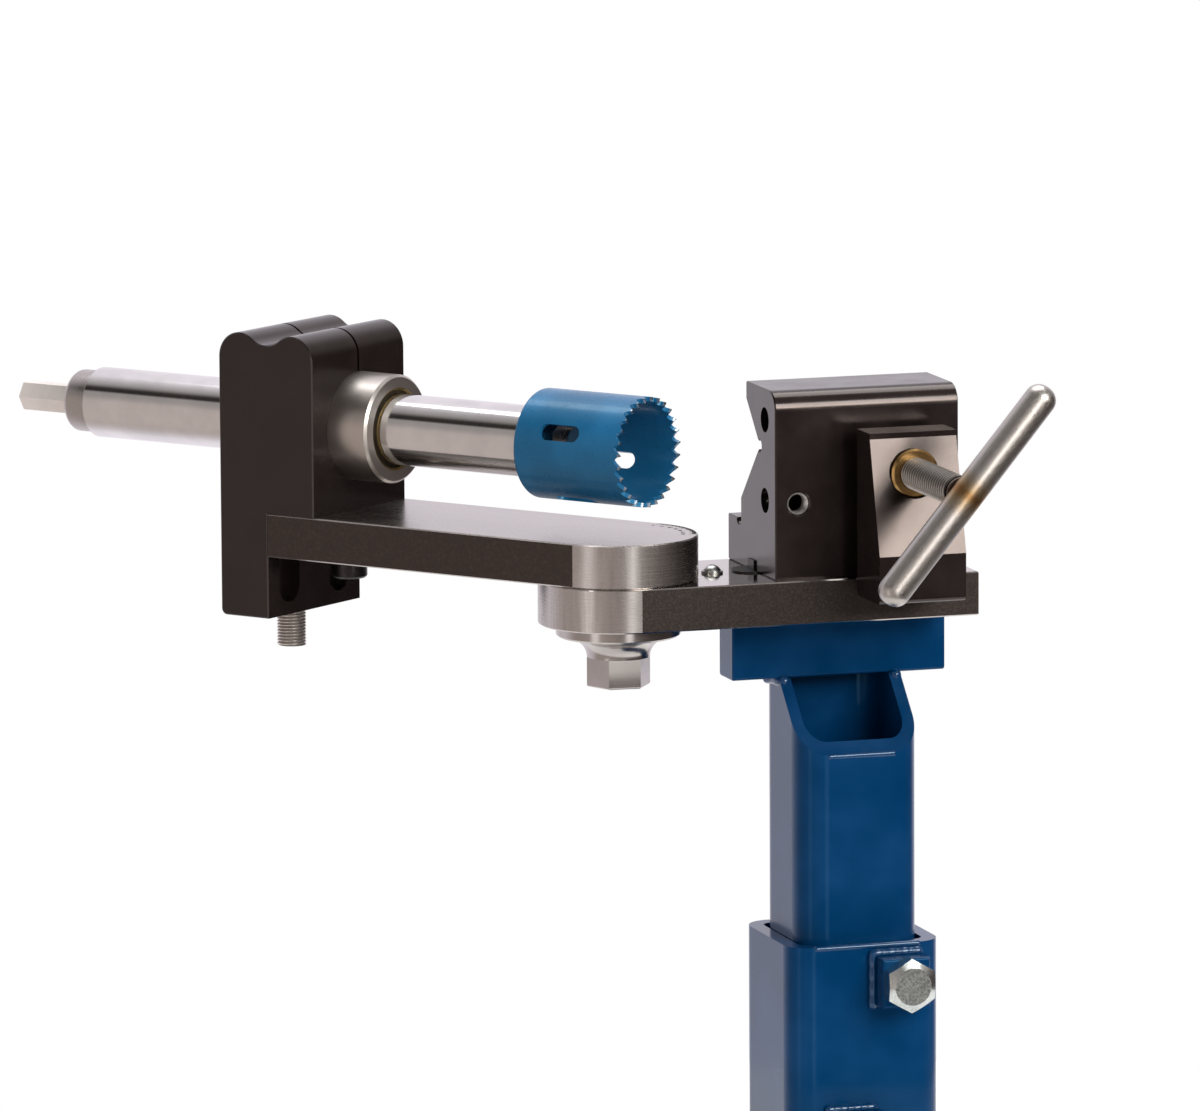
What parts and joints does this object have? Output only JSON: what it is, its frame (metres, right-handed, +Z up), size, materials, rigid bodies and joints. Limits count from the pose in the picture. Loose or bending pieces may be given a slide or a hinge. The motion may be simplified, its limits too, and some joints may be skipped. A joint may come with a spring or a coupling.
{
  "type": "tube notcher",
  "caption": "Hole-saw tube notcher with a swinging spindle arm, V-block tube clamp and a square post that slides in a bolted receiver.",
  "frame": {"origin": "centre of the foot plate's underside, on the post's axis", "axes": "+Z up along the post; +X along the base plate, away from the swing pivot; -Y towards the operator and the T-handle"},
  "size_m": [0.3454, 0.3598, 0.3639],
  "materials": {
    "blue_paint": "gloss deep blue paint",
    "zinc_steel": "zinc-plated steel",
    "ground_steel": "ground steel",
    "brushed_arm": "brushed top, dark rolled sides",
    "black_anodised": "black anodised, satin",
    "black_oxide": "black oxide",
    "bearing_steel": "turned bearing steel",
    "seal_brass": "dull gold seal",
    "polished_shaft": "polished",
    "saw_paint": "blue enamel, bare teeth",
    "nut_brass": "turned",
    "stainless": "bead-blasted stainless"
  },
  "bodies": {
    "stand": {"foot_plate": "blue_paint", "receiver_tube": "blue_paint", "lock_nuts": "blue_paint", "nut_welds": "blue_paint", "foot_welds": "blue_paint"},
    "upper_bolt": {"lock_bolt_upper": "zinc_steel"},
    "lower_bolt": {"lock_bolt_lower": "zinc_steel"},
    "head": {"post_tube": "blue_paint", "top_bar": "blue_paint", "bar_welds": "blue_paint", "base_plate": "ground_steel", "bar_screws": "black_oxide", "v_block": "black_anodised", "v_block_screws": "black_oxide", "pointer_screw": "zinc_steel", "pointer_disc": "black_oxide", "pointer_blade": "black_oxide"},
    "pivot_bolt_body": {"pivot_bolt": "ground_steel"},
    "arm": {"arm_plate": "brushed_arm", "spindle_block": "black_anodised", "pinch_screws": "black_oxide", "end_screws": "black_oxide", "foot_screw": "black_oxide", "block_stud": "zinc_steel", "stud_washer": "zinc_steel", "bearing_sleeve": "bearing_steel", "bearing_rollers_front": "bearing_steel", "bearing_rollers_rear": "bearing_steel", "bearing_seals": "seal_brass"},
    "shaft": {"spindle_shaft": "polished_shaft"},
    "spindle": {"hole_saw": "saw_paint", "saw_arbor": "polished_shaft", "drive_collar": "ground_steel", "drive_hex": "ground_steel"},
    "yoke": {"clamp_yoke": "black_anodised", "clamp_nut": "nut_brass"},
    "screw": {"clamp_screw": "black_oxide", "tee_bar": "stainless", "tee_weld": "stainless"}
  },
  "joints": [
    {"name": "post_height", "type": "slide", "parent": "stand", "child": "head", "axis": [0, 0, 1], "range_m": [-0.015, 0.055]},
    {"name": "upper_bolt_turn", "type": "hinge", "parent": "stand", "child": "upper_bolt", "pos_m": [0.0127, -0.045, 0.1122], "axis": [0, -1, 0], "range_deg": [0, 1080]},
    {"name": "lower_bolt_turn", "type": "hinge", "parent": "stand", "child": "lower_bolt", "pos_m": [-0.0056, -0.045, 0.0502], "axis": [0, -1, 0], "range_deg": [0, 1080]},
    {"name": "pivot_bolt_turn", "type": "hinge", "parent": "head", "child": "pivot_bolt_body", "pos_m": [-0.093, 0, 0.249], "axis": [0, 0, 1], "range_deg": [0, 720]},
    {"name": "arm_swing", "type": "hinge", "parent": "head", "child": "arm", "pos_m": [-0.093, 0, 0.274], "axis": [0, 0, 1], "range_deg": [-38.3, 21.6]},
    {"name": "spindle_feed", "type": "slide", "parent": "arm", "child": "shaft", "axis": [0.6203, -0.7843, 0], "range_m": [-0.068, 0.03]},
    {"name": "spindle_spin", "type": "hinge", "parent": "shaft", "child": "spindle", "pos_m": [-0.18605, 0.11765, 0.32522], "axis": [0.6203, -0.7843, 0], "continuous": true},
    {"name": "clamp_screw_turn", "type": "hinge", "parent": "head", "child": "screw", "pos_m": [0.0112, -0.08, 0.3185], "axis": [0, 1, 0], "range_deg": [-630, 1690]},
    {"name": "yoke_travel", "type": "slide", "parent": "head", "child": "yoke", "axis": [0, 1, 0], "range_m": [-0.0121, 0.0046]}
  ],
  "couplings": [
    {"joint": "yoke_travel", "follows": "clamp_screw_turn", "m_per_rad": -0.00040425}
  ]
}
